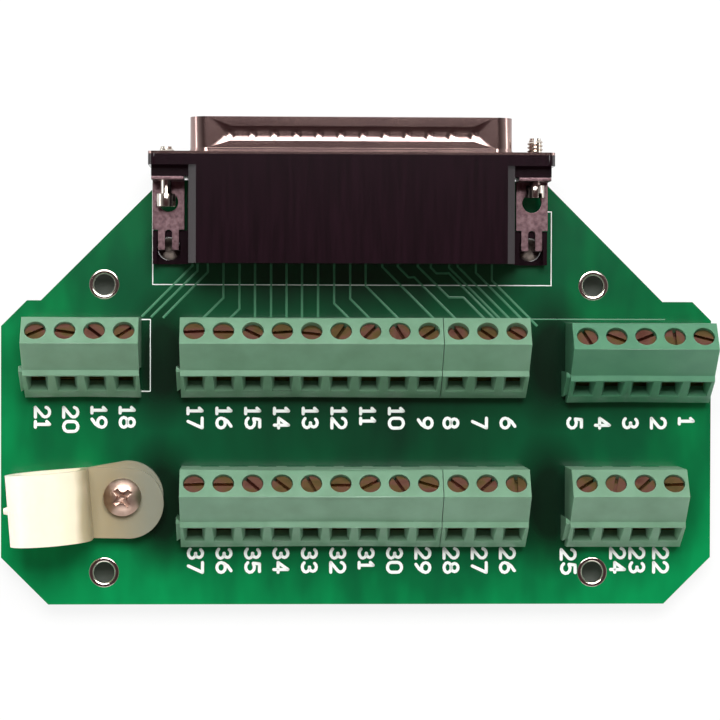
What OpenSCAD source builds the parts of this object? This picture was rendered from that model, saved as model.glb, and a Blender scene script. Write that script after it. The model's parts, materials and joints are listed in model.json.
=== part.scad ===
// Adapter board with a 37-way D-sub plug, screw terminals and a cable clamp.
// Millimetres. The origin is the middle of the four mounting holes, on the
// underside of the board. +X is the right, +Y the plug's side, +Z is up.

/* [Board] */
// Thickness of the board
board_t = 1.6; // [1.2:0.1:2.4]
// Left edge of the board, from the middle of the mounting holes
board_left = 60.6; // [58.5:0.1:66]
// Right edge of the board, from the middle of the mounting holes
board_right = 63.5; // [63:0.1:68]
// Front edge of the board, from the middle of the mounting holes
board_front = 30.7; // [29:0.1:36]
// Where the full width ends at the back, from the middle of the mounting holes
board_shoulder = 22.3; // [20.5:0.1:24]
// Where the left shoulder turns into its slope, from the middle
left_slope_x = 53.7; // [51:0.1:56]
// Where the right shoulder turns into its slope, from the middle
right_slope_x = 54.9; // [51:0.1:59]
// Corner cut at the front corners
front_cut = 8.2; // [4:0.1:9]
// Corner cut at the left back corner
back_cut_left = 4.5; // [2:0.1:5]
// Corner cut at the right back corner
back_cut_right = 3.3; // [2:0.1:5]
// Mounting hole spacing, left to right
hole_dx = 85.4; // [82:0.1:88]
// Mounting hole spacing, front to back
hole_dy = 50.2; // [48:0.1:51]
// Mounting hole diameter
hole_d = 3.7; // [3:0.1:4]

/* [Terminal blocks] */
// Distance from one terminal to the next
pitch = 5; // [4.8:0.02:5.2]
// Depth of a block, back to front
block_depth = 13.9; // [13.5:0.1:15]
// Height of the back wall
back_h = 10.1; // [9.5:0.1:10.8]
// Height of the ridge
ridge_h = 13.5; // [13:0.1:14.5]
// Distance from the back wall to the ridge
ridge_y = 4.45; // [4.2:0.05:4.8]
// Height of the lip above the wire openings
lip_h = 8.8; // [8.4:0.1:9.2]
// Distance from the back wall to the foot of the front slope
lip_y = 9.05; // [8.8:0.05:9.3]
// Depth of the lip
lip_w = 0.95; // [0.7:0.05:1.2]
// Height of the upright foot under the wire openings
sill_h = 2.6; // [2:0.1:3]
// Back wall of the upper row, from the middle of the mounting holes
row_back_y = 19.4; // [18.5:0.1:20.5]
// How much further forward the right-hand upper block sits
right_step = 0.8; // [0:0.1:1.5]
// Distance from the upper row to the lower row
row_gap = 25.95; // [25:0.05:27]
// Left end of the left-hand block, from the middle
left_block_x = 56.2; // [55:0.1:57]
// Left end of the long blocks, from the middle
long_block_x = 29.3; // [29:0.1:30]
// Left end of the right-hand blocks, from the middle
right_block_x = 37.8; // [37.3:0.1:38]
// Gap between two housings of one long block
module_gap = 0.12; // [0.06:0.02:0.2]
// How far the dovetail rib stands out of the left end
rib_out = 0.7; // [0.4:0.05:0.9]
// Length of the dovetail rib, back to front
rib_len = 4.4; // [3.5:0.1:5]

/* [Terminal screws] */
// Diameter of the screw wells
well_d = 3.7; // [3.5:0.05:3.9]
// Clearance around a screw head
head_gap = 0.12; // [0.08:0.01:0.2]
// Length of a screw head
head_l = 1.9; // [1.5:0.1:2.1]
// Diameter of the screw thread
thread_d = 2.5; // [2.3:0.1:2.6]
// Length of a screw from its face to its tip
screw_l = 7.4; // [6.8:0.1:7.6]
// Width of the driver slot
slot_w = 0.6; // [0.4:0.05:0.8]
// Depth of the driver slot
slot_deep = 0.9; // [0.6:0.05:1.1]

/* [Wire clamps] */
// Width of a wire opening at the front
mouth_w = 3.9; // [3.4:0.1:4.2]
// Width of a wire opening where it meets the clamp
throat_w = 2.6; // [2.2:0.1:2.8]
// Length of a wire opening along the sloping face
mouth_l = 5; // [4.6:0.1:5.2]
// Width of a clamp cage
cage_w = 3.7; // [3.4:0.05:3.8]
// Wall of a clamp cage
cage_t = 0.5; // [0.4:0.05:0.6]
// Depth of a clamp cage, along the wire
cage_deep = 3.1; // [2.6:0.1:3.2]
// Inner height of a clamp cage, along the screw
cage_inner = 4.1; // [3.9:0.1:4.3]
// Clearance around a clamp cage
cage_gap = 0.15; // [0.1:0.05:0.2]
// Thickness of a contact strip
strip_t = 0.6; // [0.5:0.05:0.8]
// Width of a contact strip
strip_w = 2; // [1.6:0.1:2.2]
// Side of the square solder pins
pin_w = 0.9; // [0.7:0.05:1]
// How far the solder pins reach below the board
tail = 1.9; // [1.5:0.1:2.3]
// Clearance of the plated holes around the solder pins
plating_gap = 0.15; // [0.1:0.05:0.2]

/* [D-sub plug] */
// Height of the plug's axis above the board
plug_axis = 6.3; // [6.3:0.1:6.8]
// Distance from a jack screw to the end of the flange
flange_end = 2.91; // [2.7:0.01:3.2]
// Height of the flange
flange_h = 12.55; // [12:0.05:12.6]
// Thickness of the sheet metal shell
shell_t = 0.45; // [0.4:0.05:0.6]
// Front face of the metal flange, from the middle of the mounting holes
flange_y = 47.6; // [47:0.1:48.5]
// Length of a dimple on the shell
dimple_l = 2.9; // [2.5:0.1:3.2]
// How far the shell stands out of the flange
shell_out = 6; // [5.6:0.1:6.4]
// Distance from the last contact of the long row to the inside of the shell
shell_side = 2.78; // [2.6:0.02:3]
// Height inside the shell
shell_h = 8.36; // [8:0.02:8.7]
// Corner radius inside the shell
shell_r = 2.6; // [2:0.1:3]
// Slant of the shell's ends, in degrees
shell_slant = 10; // [8:0.5:12]
// Distance between the dimples on the shell
dimple_pitch = 3.78; // [3.6:0.02:3.9]
// Thickness of the plastic flange
plastic_t = 1.85; // [1.6:0.05:2.2]
// Depth of the lower step behind the plastic flange
step_deep = 1.8; // [1.5:0.05:2]
// Height of the lower step above the axis
step_h = 4.2; // [3.8:0.1:4.6]
// How far the rear housing's top stops short of the shell on each side
hood_short = 1.21; // [0.9:0.01:1.6]
// Back face of the rear housing, from the middle of the mounting holes
hood_back = 28.6; // [28:0.1:29.4]
// Bevel along the top edges of the rear housing
hood_bevel = 1.3; // [0.8:0.1:1.6]
// Wall of the rear housing
hood_wall = 1.3; // [1:0.1:1.5]
// Distance between two contacts in a row
contact_pitch = 2.77; // [2.74:0.01:2.8]
// Distance between the two rows
contact_rows = 2.84; // [2.7:0.02:3]
// Diameter of a contact
contact_d = 1; // [0.9:0.02:1.1]
// How far the contacts stand out of the insulator
contact_out = 4.2; // [3.8:0.1:4.4]

/* [Brackets and jack screws] */
// Distance from the inside of the shell to a jack screw
jack_side = 4.04; // [3.9:0.02:4.2]
// How far the middle of a bracket lies inwards of its jack screw
bracket_in = 0.35; // [0.2:0.05:0.5]
// Width of a bracket
bracket_w = 5.5; // [5.2:0.1:5.7]
// Thickness of the bracket sheet
bracket_t = 0.6; // [0.5:0.05:0.7]
// Rear edge of the bracket plate, from the middle of the mounting holes
plate_back = 34.5; // [34:0.1:35]
// Diameter of the hole in the bracket plate
plate_hole = 3.3; // [2.8:0.1:3.5]
// Rear edge of that hole, from the middle of the mounting holes
hole_back = 37.6; // [37:0.1:38.2]
// Width of one board lock prong
prong_w = 1.2; // [1:0.05:1.3]
// Gap between the two prongs
prong_gap = 1.2; // [1:0.05:1.3]
// Back face of the prongs where they enter the board
prong_y = 31; // [30.6:0.1:31.4]
// Diameter of a jack screw's thread
jack_d = 2.8; // [2.6:0.05:2.9]
// Diameter of a jack screw's neck
neck_d = 1.8; // [1.6:0.05:2]
// Diameter of a jack screw's head
jack_head_d = 3.2; // [3:0.05:3.3]
// Length of a jack screw's head
jack_head_l = 2.2; // [1.8:0.1:2.6]
// Length of a jack screw's thread
jack_thread_l = 4.5; // [4:0.1:4.8]
// Overall length of a jack screw
jack_l = 10.3; // [10:0.1:10.6]
// How far the left jack screw's tip stands in front of the flange
jack_left_out = 1.1; // [0.9:0.1:1.6]
// How far the right jack screw's tip stands in front of the flange
jack_right_out = 2.8; // [2.4:0.1:3.1]

/* [Cable clamp] */
// Clamp screw, to the left of the middle of the mounting holes
clamp_x = 39.35; // [38.5:0.05:40]
// Clamp screw, in front of the middle of the mounting holes
clamp_y = 11.75; // [11:0.05:12.5]
// Turn of the clamp on its screw, in degrees
clamp_turn = 4.5; // [0:0.5:8]
// Width of the clamp strap
strap_w = 12.2; // [11:0.1:12.6]
// Thickness of the clamp strap
strap_t = 1.3; // [1:0.05:1.5]
// Inside diameter of the loop
loop_d = 11.4; // [10:0.1:12]
// Distance from the screw to the nearest side of the loop
loop_gap = 5.5; // [5:0.1:6]
// How far the upper tab's end lies in front of the lower tab's
tab_skew = 1.2; // [0:0.1:1.4]
// Reach of the tabs beyond the screw
tab_reach = 7; // [6.5:0.1:7.4]
// Diameter of the clamp screw's head
clamp_head_d = 6.5; // [6:0.1:7]
// Diameter of the clamp screw's thread
clamp_thread_d = 3.3; // [3:0.1:3.6]
// Width across the flats of the nut
nut_af = 6; // [5.5:0.1:7]
// Height of the nut
nut_h = 2.4; // [2:0.1:2.8]

/* [Hidden] */
WAYS = 37;
UPPER_WAYS = 21;
LONG_ROW = 19;
SHORT_ROW = 18;
function screw_name(n) = str("screw_", n < 10 ? "0" : "", n);
$fn = 48;
// Overrun of a cut past the face that it opens
cut = 1;
// Smallest running gap between two separate parts
slip = 0.05;
// How far two shapes of one solid run into each other
overlap = 0.01;

// Each row is a housing: the number of its left-hand terminal, its count of
// terminals, its left end and its back wall.
lower_back_y = row_back_y - row_gap;
long_ways = 9;
module_x = long_ways * pitch - long_block_x;
BLOCKS = [
  [21, 4, -left_block_x, row_back_y],
  [17, long_ways, -long_block_x, row_back_y],
  [8, 3, module_x, row_back_y],
  [5, 5, right_block_x, row_back_y - right_step],
  [37, long_ways, -long_block_x, lower_back_y],
  [28, 3, module_x, lower_back_y],
  [25, 4, right_block_x, lower_back_y]];
// The driver slots as they were left, in degrees, from terminal 1 to 37
SLOT_TURN = [-18, 90, 25, -25, -65, -38, -42, -60, 40, -65, 50, 60, -8, 5, -30, 0, 3,
  38, -42, -10, 28, 2, 45, 77, 35, 90, 45, -42, -20, -60, 30, 0, -65, -42, -45, 0, 3];
// How deep each screw sits in its well, from terminal 1 to 37
SINK = [0.5, 0.4, 0.4, 0.5, 0.5, 0.9, 0.9, 0.8, 0.7, 0.35, 0.35, 0.35, 0.8, 0.4, 0.7,
  0.4, 0.3, 0.6, 0.4, 0.4, 0.5, 0.4, 0.4, 0.4, 0.4, 0.5, 0.5, 0.5, 0.4, 0.4,
  0.4, 0.6, 0.4, 0.4, 0.4, 0.4, 0.4];
// Terminals whose cage has been drawn up a little and shows in its opening
CAGE_UP = [19, 20, 23, 24, 26, 28, 29, 30, 31, 32, 34, 36, 37];

// A terminal is drawn in its own frame: X across, Y towards the wire side,
// Z up, with the origin at the middle of the way, on the board, at the back.
screw_slope = atan((ridge_h - back_h) / ridge_y);
face_mid = [ridge_y / 2, (back_h + ridge_h) / 2];
face_slope = atan((lip_h - sill_h) / (block_depth - lip_y - lip_w));
head_d = well_d - 2 * head_gap;
shank_gap = 0.2;
shoulder_top = max(SINK) + head_l + head_gap;
shoulder_t = 0.5;
chamber_top = shoulder_top + shoulder_t;
cage_top_t = 0.9;
cage_drop = 3.2;
cage_lift = 0.6;
tongue_a = screw_l + max(SINK) + slip;
cage_low = tongue_a + strip_t + cage_drop;
chamber_w = cage_w + 2 * cage_gap;
chamber_deep = cage_deep + 2 * cage_gap;
pin_y = 5.2;
pin_slot_w = strip_w + 2 * cage_gap;
rib_skin = 0.5;
rib_flare = 0.5;
rib_y = lip_y + lip_w / 2 + 1.1;

function block_of(n) = [for (b = BLOCKS) if (n <= b[0] && n > b[0] - b[1]) b][0];
function way_x(n) = let (b = block_of(n)) b[2] + (b[0] - n + 0.5) * pitch;
function way_y(n) = block_of(n)[3];
function has(list, n) = len([for (v = list) if (v == n) v]) > 0;
// Points of an arc about (x, y), from one angle to another
function arc(x, y, r, from, to, step = 10) =
  let (count = ceil(abs(to - from) / step))
  [for (i = [0 : count]) [x + r * cos(from + (to - from) * i / count),
                          y + r * sin(from + (to - from) * i / count)]];

plug_z = board_t + plug_axis;
contact_span = (LONG_ROW - 1) * contact_pitch;
shell_w = contact_span + 2 * shell_side;
jack_dx = shell_w + 2 * jack_side;
flange_w = jack_dx + 2 * flange_end;
hood_w = shell_w - 2 * hood_short;
bracket_x = jack_dx / 2 - bracket_in;
hood_top = plug_z + flange_h / 2;
plastic_front = flange_y - shell_t;
plastic_back = plastic_front - plastic_t;
step_back = plastic_back - step_deep;
board_back = step_back - 0.2;
insulator_front = flange_y + 1.2;
insulator_back = plastic_back + 0.4;
hood_room = 0.35;
hood_flare = 1.9;
step_in = 0.5;
insulator_step = 0.6;
insulator_seat = 0.6;
insulator_rim = 1;
housing_rim = 1.5;
tail_y_upper = hood_back + 2.6;
tail_y_lower = tail_y_upper + contact_rows;
plate_top = plug_z - jack_head_d / 2 - 0.2;
leg_front = step_back - slip;
leg_hole_d = neck_d + 0.5;
jack_hole_d = jack_d + 0.4;
foot_top = plate_top - bracket_t - slip;
lock_hole_d = 2 * prong_w + prong_gap + 0.4;
lock_hole_y = prong_y + bracket_t / 2;
tab_split = 2 * slip;
clamp_top = board_t + 2 * strap_t + tab_split;
loop_r = loop_d / 2 + strap_t;
loop_y = -tab_skew / 2;
tail_z = -tail;

// Stands a way's parts at terminal n
module at_way(n) {
  translate([way_x(n), way_y(n), board_t]) mirror([0, 1, 0]) children();
}

// Frame of a screw: Z runs outwards along the screw from the sloping face
module on_screw_axis() {
  translate([0, face_mid[0], face_mid[1]]) rotate([screw_slope, 0, 0]) children();
}

// Board with its corner cuts and every drilled hole
module board() {
  run = board_back - board_shoulder;
  outline = [
    [-board_left, -board_front + front_cut], [-board_left + front_cut, -board_front],
    [board_right - front_cut, -board_front], [board_right, -board_front + front_cut],
    [board_right, board_shoulder - back_cut_right],
    [board_right - back_cut_right, board_shoulder],
    [right_slope_x, board_shoulder], [right_slope_x - run, board_back],
    [-left_slope_x + run, board_back], [-left_slope_x, board_shoulder],
    [-board_left + back_cut_left, board_shoulder],
    [-board_left, board_shoulder - back_cut_left]];
  color("seagreen")
    difference() {
      linear_extrude(board_t) polygon(outline);
      for (x = [-1, 1], y = [-1, 1])
        drill(x * hole_dx / 2, y * hole_dy / 2, hole_d);
      for (n = [1 : WAYS]) drill(way_x(n), way_y(n) - pin_y, pin_w * sqrt(2) + 2 * plating_gap);
      for (x = contact_xs(LONG_ROW)) drill(x, tail_y_upper, contact_d + 2 * plating_gap);
      for (x = contact_xs(SHORT_ROW)) drill(x, tail_y_lower, contact_d + 2 * plating_gap);
      for (x = [-1, 1]) drill(x * bracket_x, lock_hole_y, lock_hole_d);
      drill(-clamp_x, -clamp_y, clamp_thread_d + 2 * plating_gap);
    }
}

module drill(x, y, d) {
  translate([x, y, -cut]) cylinder(h = board_t + 2 * cut, d = d);
}

// Side view of a terminal housing, back wall at the left
module housing_side() {
  polygon([[0, 0], [0, back_h], [ridge_y, ridge_h], [lip_y, lip_h],
    [lip_y + lip_w, lip_h], [block_depth, sill_h], [block_depth, 0]]);
}

// Plan of the dovetail rib, standing out to the left of X = 0
module dovetail(grow) {
  half = rib_len / 2 + grow;
  waist = half - rib_flare;
  polygon([[overlap, -waist], [-rib_out - grow, -half], [-rib_out - grow, half],
    [overlap, waist]]);
}

// Rib or groove: it stays under the side view by a skin of plastic
module rib(grow, skin) {
  intersection() {
    translate([0, rib_y, -cut]) linear_extrude(ridge_h) dovetail(grow);
    translate([-2 * rib_out, -skin, -skin]) rotate([90, 0, 90])
      linear_extrude(4 * rib_out) housing_side();
  }
}

// Space of one way: screw well, clamp chamber, wire funnel and pin slot
module way_space() {
  strip_up = 5.4;
  bend_room = 1;
  below = 2 * face_mid[1];
  on_screw_axis() {
    translate([0, 0, -shoulder_top]) cylinder(h = shoulder_top + cut, d = well_d);
    translate([0, 0, -chamber_top - cut])
      cylinder(h = chamber_top + cut, d = thread_d + 2 * shank_gap);
    translate([-chamber_w / 2, -chamber_deep / 2, -below])
      cube([chamber_w, chamber_deep, below - chamber_top]);
  }
  funnel();
  translate([-pin_slot_w / 2, pin_y - strip_t - cage_gap, -cut])
    cube([pin_slot_w, 2 * strip_t + 2 * cage_gap, strip_up + cut]);
  on_screw_axis()
    translate([-pin_slot_w / 2, -chamber_deep / 2 - bend_room, -tongue_a - strip_t - cage_gap])
      cube([pin_slot_w, chamber_deep, strip_t + 2 * cage_gap]);
}

// Wire funnel: as wide as the mouth outside, and as the throat inside. It is
// drawn from the lip's edge, with Y outwards along the wire
module funnel() {
  throat_deep = 1.4;
  reach = 4.4;
  translate([0, lip_y + lip_w, lip_h]) rotate([screw_slope, 0, 0])
    intersection() {
      translate([-mouth_w / 2, 0, 0]) rotate([90, 0, 90])
        linear_extrude(mouth_w) funnel_side(reach);
      funnel_plan(throat_deep, reach);
    }
}

// Side of the funnel, outwards along the wire and upwards along the screw
module funnel_side(reach) {
  roof = -0.25;
  tilt = face_slope + screw_slope - 90;
  floor_z = -mouth_l * cos(tilt);
  polygon([[cut, roof], [-reach, roof], [-reach, floor_z], [cut, floor_z]]);
}

module funnel_plan(throat_deep, reach) {
  translate([0, 0, -2 * mouth_l]) linear_extrude(3 * mouth_l)
    polygon([[-mouth_w / 2, 3 * cut], [-mouth_w / 2, 0], [-throat_w / 2, -throat_deep],
      [-throat_w / 2, -reach], [throat_w / 2, -reach], [throat_w / 2, -throat_deep],
      [mouth_w / 2, 0], [mouth_w / 2, 3 * cut]]);
}

// One housing with its ways, its rib on the left and its groove on the right
module housing(b) {
  inset = module_gap / 2;
  color([0.58, 0.78, 0.65])
    translate([b[2], b[3], board_t]) mirror([0, 1, 0]) {
      difference() {
        union() {
          translate([inset, 0, 0]) rotate([90, 0, 90])
            linear_extrude(b[1] * pitch - 2 * inset) housing_side();
          difference() {
            translate([inset, 0, 0]) rib(0, rib_skin + module_gap);
            translate([-pitch, 0, -pitch]) cube([2 * pitch, block_depth, pitch]);
          }
        }
        translate([b[1] * pitch + inset, 0, 0]) rib(module_gap, rib_skin);
        for (i = [0 : b[1] - 1]) translate([(i + 0.5) * pitch, 0, 0]) way_space();
        for (i = [1 : b[1] - 1]) translate([i * pitch, 0, 0]) foot_notch();
      }
    }
}

// Notch under the back wall between two ways
module foot_notch() {
  notch = [3.2, 0.9, 1.2];
  translate([-notch[0] / 2, -cut, -cut]) cube([notch[0], notch[1] + cut, notch[2] + cut]);
}

// Slotted screw of terminal n
module terminal_screw(n) {
  point = 0.4;
  color([0.72, 0.45, 0.32])
    at_way(n) on_screw_axis() translate([0, 0, -SINK[n - 1]])
      difference() {
        union() {
          translate([0, 0, -head_l]) cylinder(h = head_l, d = head_d);
          translate([0, 0, -screw_l + point]) cylinder(h = screw_l - point, d = thread_d);
          translate([0, 0, -screw_l])
            cylinder(h = point + overlap, d1 = thread_d - 2 * point, d2 = thread_d);
        }
        rotate([0, 0, SLOT_TURN[n - 1]])
          translate([-well_d, -slot_w / 2, -slot_deep]) cube([2 * well_d, slot_w, cut + slot_deep]);
      }
}

// Sheet metal cage of terminal n, hanging on its screw
module cage(n) {
  lift = has(CAGE_UP, n) ? cage_lift : 0;
  low = cage_low - lift;
  outer_h = cage_inner + cage_top_t + cage_t;
  at_way(n) on_screw_axis() difference() {
    translate([-cage_w / 2, -cage_deep / 2, -low - cage_t]) cube([cage_w, cage_deep, outer_h]);
    translate([-cage_w / 2 + cage_t, -cage_deep, -low])
      cube([cage_w - 2 * cage_t, 2 * cage_deep, cage_inner]);
    translate([0, 0, -low]) cylinder(h = outer_h + cut, d = thread_d + 2 * head_gap);
  }
}

module clamp_cages() {
  color("darkgoldenrod") for (n = [1 : WAYS]) cage(n);
}

// Contact of terminal n: a tongue through the cage, a strip down, a solder pin
module contact(n) {
  tongue = [face_mid[0] + sin(screw_slope) * (tongue_a + strip_t / 2),
            face_mid[1] - cos(screw_slope) * (tongue_a + strip_t / 2)];
  front = cage_deep / 2 - 2 * slip;
  bend = (tongue[0] - pin_y) / cos(screw_slope);
  strip_z = 0.3;
  at_way(n) {
    on_screw_axis() translate([-strip_w / 2, -bend, -tongue_a - strip_t])
      cube([strip_w, bend + front, strip_t]);
    translate([-strip_w / 2, pin_y - strip_t / 2, strip_z])
      cube([strip_w, strip_t, tongue[1] - bend * sin(screw_slope) - strip_z]);
    translate([0, pin_y, -board_t - tail]) intersection() {
      translate([0, pin_w, 0]) rotate([90, 0, 0]) linear_extrude(2 * pin_w) pin_side();
      translate([-pin_w, 0, 0]) rotate([90, 0, 90]) linear_extrude(2 * pin_w) pin_side();
    }
  }
}

// Side of a square pin with a tapered end, from its tip up
module pin_side() {
  taper = 0.5;
  w = pin_w / 2;
  top = board_t + tail + taper;
  polygon([[-w / 2, 0], [w / 2, 0], [w, taper], [w, top], [-w, top], [-w, taper]]);
}

module contacts(from, to) {
  color("silver") for (n = [from : to]) contact(n);
}

// Rounded D: half width on the wide side at the top, half height and radius
module d_shape(w, h, r) {
  run = h * tan(shell_slant);
  side = 90 + shell_slant;
  top_x = w / 2 - r * tan(side / 2);
  low_x = w / 2 - run - r * tan((180 - side) / 2);
  right = concat(arc(low_x, -h / 2 + r, r, -90, -shell_slant),
                 arc(top_x, h / 2 - r, r, -shell_slant, 90));
  polygon(concat(right, [for (i = [len(right) - 1 : -1 : 0]) [-right[i][0], right[i][1]]]));
}

// Stands a plan drawn across the plug: X across, Y up, extruded towards +Y
module across(y0, y1) {
  translate([0, y0, plug_z]) rotate([-90, 0, 0]) mirror([0, 1, 0])
    linear_extrude(y1 - y0) children();
}

module flange_outline(w, h) {
  r = 1.2;
  translate([-w / 2 + r, -h / 2]) square([w - 2 * r, h]);
  translate([-w / 2, -h / 2 + r]) square([w, h - 2 * r]);
  for (x = [-1, 1], y = [-1, 1]) translate([x * (w / 2 - r), y * (h / 2 - r)]) circle(r);
}

module jack_holes(d) {
  for (x = [-1, 1]) translate([x * jack_dx / 2, 0]) circle(d = d);
}

// Drawn metal shell with its flange, base fillet and dimples
module plug_shell() {
  base_r = 0.9;
  skim = 0.1;
  tip = flange_y + shell_out;
  color([0.72, 0.68, 0.62])
    difference() {
      union() {
        difference() {
          union() {
            across(flange_y - shell_t, flange_y) difference() {
              flange_outline(flange_w, flange_h);
              jack_holes(jack_hole_d);
            }
            for (a = [0 : 25 : 75]) shell_step(base_r, a);
            across(flange_y - shell_t, tip)
              d_shape(shell_w + 2 * shell_t, shell_h + 2 * shell_t, shell_r + shell_t);
          }
          across(flange_y - 2 * cut, tip + cut) d_shape(shell_w, shell_h, shell_r);
        }
        dimples(skim);
      }
      dimples(shell_t + skim);
    }
}

// One step of the rounded foot of the shell, at an angle round the fillet
module shell_step(r, a) {
  grow = shell_t + r * (1 - cos(90 - a));
  across(flange_y - shell_t, flange_y + max(r * (1 - cos(a)), slip))
    d_shape(shell_w + 2 * grow, shell_h + 2 * grow, shell_r + grow);
}

// Dimples pressed inwards: twelve on the wide side and ten on the narrow side
module dimples(lift) {
  for (i = [0 : 11]) dimple((i - 5.5) * dimple_pitch, 1, lift);
  for (i = [0 : 9]) dimple((i - 4.5) * dimple_pitch, -1, lift);
}

// A flat capsule whose round face stands inwards, lifted outwards from the wall
module dimple(x, s, lift) {
  half_w = 1.2;
  depth = 0.32;
  r = (half_w * half_w + depth * depth) / (2 * depth);
  run = dimple_l - 2 * half_w;
  from_flange = 1.7;
  wall = 1;
  base = shell_h / 2 + lift;
  intersection() {
    translate([x, flange_y + from_flange + half_w, plug_z + s * (base + r - depth)]) {
      sphere(r = r);
      rotate([-90, 0, 0]) cylinder(h = run, r = r);
      translate([0, run, 0]) sphere(r = r);
    }
    translate([x - r, flange_y, plug_z + (s > 0 ? base - wall : -base)])
      cube([2 * r, 2 * r, wall]);
  }
}

// Insulator in the shell, drilled for the contacts
module plug_insulator() {
  color([0.12, 0.1, 0.12])
    difference() {
      union() {
        across(plastic_front - insulator_seat, insulator_front) shell_inside(slip);
        across(insulator_back, plastic_front - insulator_seat + 2 * slip)
          shell_inside(insulator_rim);
      }
      contact_bores(insulator_back - cut, insulator_front + cut);
    }
}

// The shell's inside, smaller by a rim all round
module shell_inside(rim) {
  d_shape(shell_w - 2 * rim, shell_h - 2 * rim, shell_r - rim);
}

module contact_bores(y0, y1) {
  for (x = contact_xs(LONG_ROW)) bore_y(x, plug_z + contact_rows / 2, y0, y1, contact_d + 2 * slip);
  for (x = contact_xs(SHORT_ROW)) bore_y(x, plug_z - contact_rows / 2, y0, y1, contact_d + 2 * slip);
}

module bore_y(x, z, y0, y1, d) {
  translate([x, y0, z]) rotate([-90, 0, 0]) cylinder(h = y1 - y0, d = d);
}

function contact_xs(count) = [for (i = [0 : count - 1]) (i - (count - 1) / 2) * contact_pitch];

// Black housing: flange, step, hollow hood over the contacts and two feet
module plug_housing() {
  half = hood_w / 2;
  h = hood_top - board_t;
  low = half + hood_flare;
  step_w = flange_w - 2 * step_in;
  color([0.13, 0.1, 0.13])
    difference() {
      union() {
        across(plastic_back, plastic_front) flange_outline(flange_w, flange_h);
        translate([-step_w / 2, step_back, plug_z - flange_h / 2])
          cube([step_w, step_deep + slip, flange_h / 2 + step_h]);
        translate([0, plastic_back + slip, board_t]) rotate([90, 0, 0])
          linear_extrude(plastic_back - hood_back)
            polygon([[-low, 0], [low, 0], [half + hood_bevel, h - hood_bevel], [half, h],
              [-half, h], [-half - hood_bevel, h - hood_bevel]]);
        for (x = [-1, 1]) foot(x);
      }
      across(plastic_front - insulator_seat - slip, plastic_front + cut) shell_inside(0);
      across(insulator_back - slip, plastic_front) shell_inside(insulator_rim - slip);
      across(step_back - insulator_step, plastic_front) shell_inside(housing_rim);
      hood_cavity();
      for (x = [-1, 1])
        translate([x * jack_dx / 2, step_back - cut, plug_z]) rotate([-90, 0, 0])
          cylinder(h = plastic_t + step_deep + 2 * cut, d = jack_hole_d);
    }
}

// Room for the right-angle contacts, open towards the board
module hood_cavity() {
  w = contact_span + contact_d + 2 * hood_room;
  back = hood_back + hood_wall;
  translate([-w / 2, back, board_t - cut])
    cube([w, step_back - insulator_step / 2 - back, hood_top - board_t - hood_wall + cut]);
}

// Foot beside the hood, with the recess that the board lock bends down into
module foot(side) {
  deep = plate_back - hood_back - 2 * slip;
  h = foot_top - board_t;
  room = 0.25;
  floor_t = 1.2;
  recess_w = 2 * prong_w + prong_gap + 2 * room;
  recess_front = prong_y + bracket_t + 0.9;
  inner = hood_w / 2 + cut;
  outer = bracket_x + bracket_w / 2;
  difference() {
    translate([side > 0 ? inner : -outer, hood_back, board_t]) cube([outer - inner, deep, h]);
    translate([side * bracket_x - recess_w / 2, hood_back - cut, board_t + floor_t])
      cube([recess_w, recess_front - hood_back + cut, h]);
    translate([side * bracket_x, lock_hole_y, board_t - cut]) cylinder(h = h + cut, d = lock_hole_d);
  }
}

// Right-angle contacts of one row, each bent round a ball corner
module plug_contacts(count, z, tail_y) {
  r = contact_d / 2;
  tip = insulator_front + contact_out;
  color([0.78, 0.72, 0.55])
    for (x = contact_xs(count)) union() {
      bore_y(x, z, tail_y, tip - r, contact_d);
      translate([x, tip - r, z]) sphere(r = r);
      translate([x, tail_y, z]) sphere(r = r);
      translate([x, tail_y, tail_z + r]) cylinder(h = z - tail_z - r, d = contact_d);
      translate([x, tail_y, tail_z + r]) sphere(r = r);
    }
}

// Bracket: upright leg, plate with a hole and forked board lock
module bracket(side) {
  t = bracket_t;
  w = bracket_w;
  leg_top = plug_z + 4;
  prong_end = tail_z + 0.6;
  plate_z = plate_top - t;
  leg_y = leg_front - t;
  fork_w = 2 * prong_w + prong_gap;
  color([0.66, 0.58, 0.55])
    difference() {
      union() {
        translate([side * bracket_x - w / 2, leg_y, plate_z]) cube([w, t, leg_top - plate_z]);
        translate([side * bracket_x - w / 2, plate_back, plate_z])
          cube([w, leg_y - plate_back + t, t]);
        translate([side * bracket_x - fork_w / 2, prong_y, plate_z])
          cube([fork_w, plate_back - prong_y + slip, t]);
        translate([side * bracket_x - fork_w / 2, prong_y, prong_end])
          cube([fork_w, t, plate_top - prong_end]);
        for (s = [-1, 1]) barb(side * bracket_x + s * fork_w / 2, s);
      }
      translate([side * jack_dx / 2, leg_y - cut, plug_z]) rotate([-90, 0, 0])
        cylinder(h = t + 2 * cut, d = leg_hole_d);
      translate([side * bracket_x, hole_back + plate_hole / 2, plate_z - cut])
        cylinder(h = t + 2 * cut, d = plate_hole);
      translate([side * bracket_x - prong_gap / 2, prong_y - cut, tail_z - cut])
        cube([prong_gap, plate_back - prong_y - prong_gap / 2 + cut, plate_top - tail_z + 2 * cut]);
      translate([side * bracket_x, plate_back - prong_gap / 2, plate_z - cut])
        cylinder(h = t + 2 * cut, d = prong_gap);
    }
}

// Barb that catches under the board
module barb(x, s) {
  out = 0.3;
  root = -0.1;
  under_board = -0.15;
  translate([x, prong_y, under_board]) rotate([-90, 0, 0]) linear_extrude(bracket_t)
    polygon([[s * root, 0], [s * out, 0], [s * root / 2, 1], [s * root, 1]]);
}

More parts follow.
